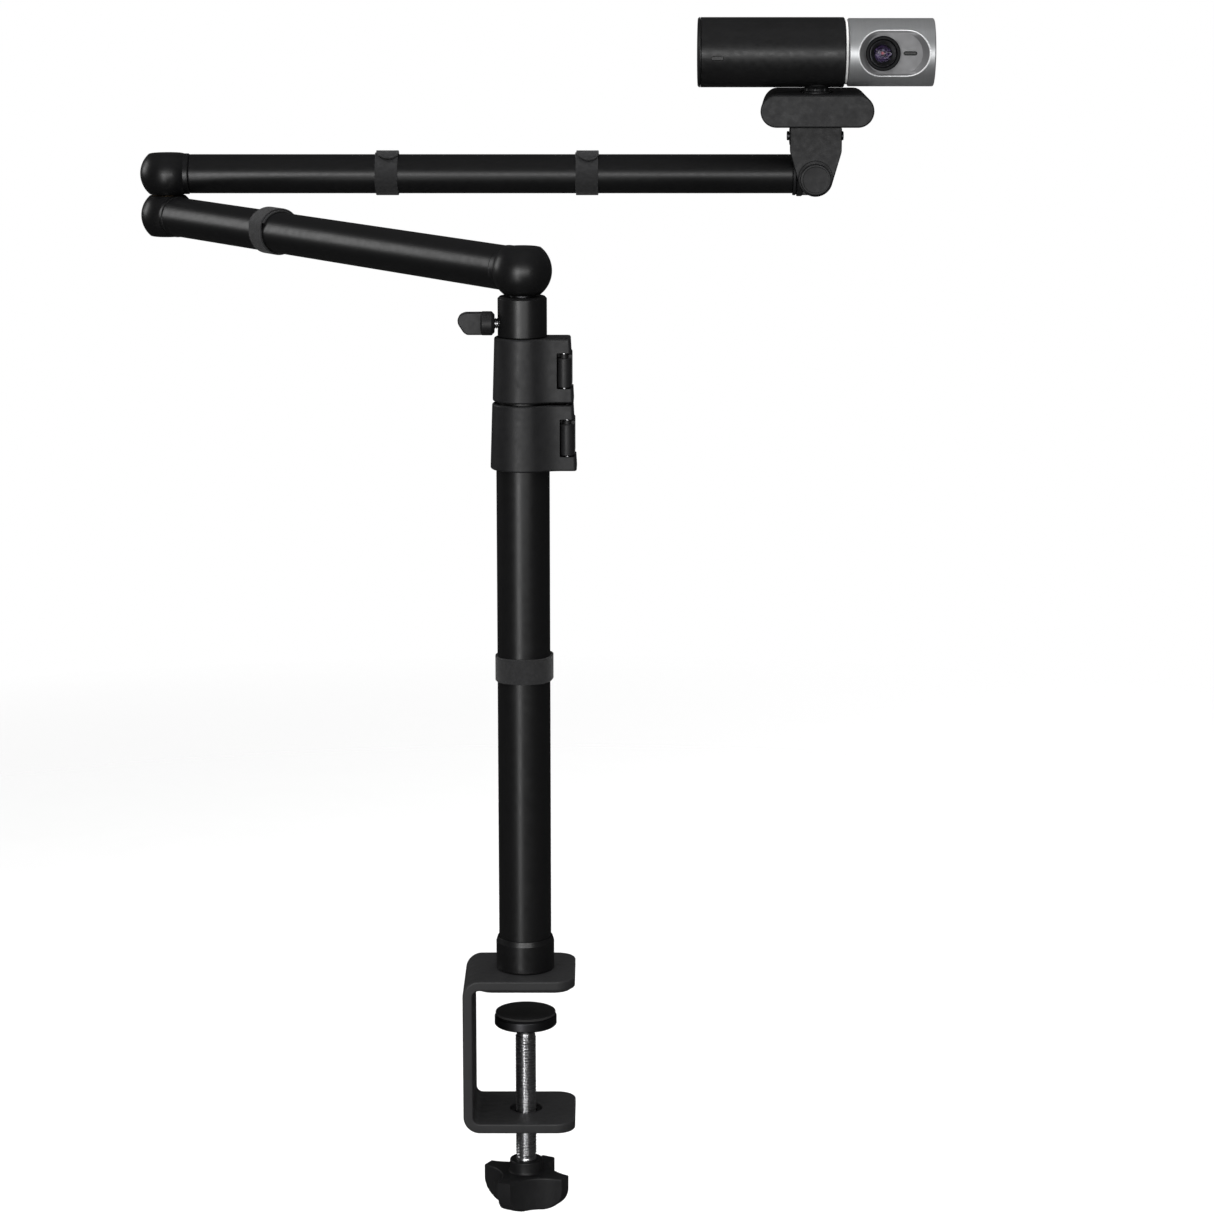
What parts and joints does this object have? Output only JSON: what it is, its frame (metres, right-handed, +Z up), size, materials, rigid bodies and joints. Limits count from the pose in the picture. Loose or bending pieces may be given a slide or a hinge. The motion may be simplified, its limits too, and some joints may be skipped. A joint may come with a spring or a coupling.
{
  "type": "webcam on desk-clamp arm",
  "caption": "Small barrel-shaped webcam with a turning lens head, on two swinging arms and a telescopic mast that clamps to a desk edge.",
  "frame": {"origin": "on the mast's axis, in the underside of the desk pad, which rests on the desk", "axes": "+Z up the mast, +X along the upper arm and towards the lens head, +Y away from what the lens faces"},
  "size_m": [0.4242, 0.3152, 0.5614],
  "materials": {
    "satin_black": "satin black anodised aluminium",
    "powder_black": "fine black powder coat",
    "moulded_black": "fine-textured black moulding",
    "camera_black": "satin black anodised aluminium",
    "rubber": "matte",
    "webbing": "hook-and-loop webbing",
    "steel": "bright turned steel",
    "dark_steel": "blackened steel",
    "brass": "plain",
    "nylon": "natural nylon",
    "silver": "circumferentially brushed, clear anodised",
    "grey": "fine matte grey",
    "gloss_black": "gloss",
    "glass": "coated lens",
    "board": "solder mask"
  },
  "bodies": {
    "clamp": {"clamp_frame": "powder_black", "desk_pad": "rubber", "clamp_nut": "dark_steel", "base_collar": "satin_black", "base_bolt": "dark_steel", "lower_tube": "satin_black", "mast_strap": "webbing", "lower_lock_collar": "moulded_black", "lower_lock_bush": "moulded_black", "lower_lock_pin": "steel", "lower_lock_bolt": "dark_steel"},
    "pressure_foot": {"pressure_disc": "dark_steel", "pressure_pad": "rubber"},
    "clamp_handle": {"clamp_screw": "steel", "clamp_knob": "moulded_black"},
    "lower_lever": {"lower_lock_lever": "moulded_black"},
    "mid_mast": {"mid_tube": "satin_black", "mid_tube_plug": "nylon", "upper_lock_collar": "moulded_black", "upper_lock_bush": "moulded_black", "upper_lock_pin": "steel", "upper_lock_bolt": "dark_steel"},
    "upper_lever": {"upper_lock_lever": "moulded_black"},
    "upper_mast": {"upper_tube": "satin_black", "upper_tube_plug": "nylon", "head_collar": "satin_black"},
    "thumb_screw": {"thumb_screw_stud": "steel", "thumb_screw_knob": "moulded_black"},
    "lower_arm": {"shoulder_ball": "satin_black", "shoulder_spigot": "steel", "lower_arm_tube": "satin_black", "lower_arm_strap": "webbing", "elbow_lower_ball": "satin_black", "elbow_bolt": "dark_steel", "elbow_nut": "steel", "elbow_washer": "brass"},
    "upper_arm": {"elbow_upper_ball": "satin_black", "elbow_cap": "satin_black", "upper_arm_tube": "satin_black", "upper_arm_strap_near": "webbing", "upper_arm_strap_far": "webbing", "arm_end_plug": "moulded_black"},
    "tip": {"tip_knuckle": "moulded_black", "tilt_screw": "moulded_black", "tilt_nut": "steel"},
    "leg": {"camera_leg": "moulded_black", "clip_pin": "dark_steel"},
    "clip": {"clip_head": "moulded_black"},
    "camera": {"camera_neck": "moulded_black", "camera_shell": "camera_black", "camera_end_cap": "camera_black", "head_bearing": "nylon", "main_board": "board", "usb_socket": "steel"},
    "lens_head": {"lens_head_shell": "silver", "lens_bezel": "grey", "lens_ring": "gloss_black", "lens_glass": "glass", "sensor_board": "board", "status_light": "gloss_black"}
  },
  "joints": [
    {"name": "clamp_travel", "type": "slide", "parent": "clamp", "child": "pressure_foot", "axis": [0, 0, 1], "range_m": [-0.04, 0.015]},
    {"name": "clamp_turn", "type": "hinge", "parent": "pressure_foot", "child": "clamp_handle", "pos_m": [0, 0, -0.016], "axis": [0, 0, 1], "range_deg": [-9610, 3610]},
    {"name": "lower_lock", "type": "hinge", "parent": "clamp", "child": "lower_lever", "pos_m": [0.0208, -0.0063, 0.26475], "axis": [0, 0, -1], "range_deg": [0, 110]},
    {"name": "mid_mast_slide", "type": "slide", "parent": "clamp", "child": "mid_mast", "axis": [0, 0, 1], "range_m": [0, 0.21]},
    {"name": "upper_lock", "type": "hinge", "parent": "mid_mast", "child": "upper_lever", "pos_m": [0.0195, -0.0063, 0.29615], "axis": [0, 0, -1], "range_deg": [0, 110]},
    {"name": "upper_mast_slide", "type": "slide", "parent": "mid_mast", "child": "upper_mast", "axis": [0, 0, 1], "range_m": [0, 0.23]},
    {"name": "thumb_screw_turn", "type": "hinge", "parent": "upper_mast", "child": "thumb_screw", "pos_m": [0, 0, 0.3173], "axis": [-1, 0, 0], "range_deg": [0, 360]},
    {"name": "shoulder_swing", "type": "hinge", "parent": "upper_mast", "child": "lower_arm", "pos_m": [0, 0, 0.3418], "axis": [0, 0, 1], "continuous": true},
    {"name": "elbow_swing", "type": "hinge", "parent": "lower_arm", "child": "upper_arm", "pos_m": [-0.19744, 0.2768, 0.36415], "axis": [0, 0, 1], "range_deg": [-40, 290]},
    {"name": "tip_roll", "type": "hinge", "parent": "upper_arm", "child": "tip", "pos_m": [0.15066, 0.2768, 0.36415], "axis": [1, 0, 0], "range_deg": [-90, 90]},
    {"name": "leg_tilt", "type": "hinge", "parent": "tip", "child": "leg", "pos_m": [0.15066, 0.2768, 0.3624], "axis": [0, 1, 0], "range_deg": [-15, 120]},
    {"name": "clip_fold", "type": "hinge", "parent": "leg", "child": "clip", "pos_m": [0.15066, 0.2695, 0.385], "axis": [-1, 0, 0], "range_deg": [0, 95]},
    {"name": "camera_pan", "type": "hinge", "parent": "clip", "child": "camera", "pos_m": [0.15066, 0.262, 0.4076], "axis": [0, 0, 1], "range_deg": [-90, 90]},
    {"name": "lens_tilt", "type": "hinge", "parent": "camera", "child": "lens_head", "pos_m": [0.16676, 0.262, 0.4295], "axis": [1, 0, 0], "range_deg": [-90, 90]}
  ],
  "couplings": [
    {"joint": "clamp_turn", "follows": "clamp_travel", "rad_per_m": 4188.8}
  ]
}
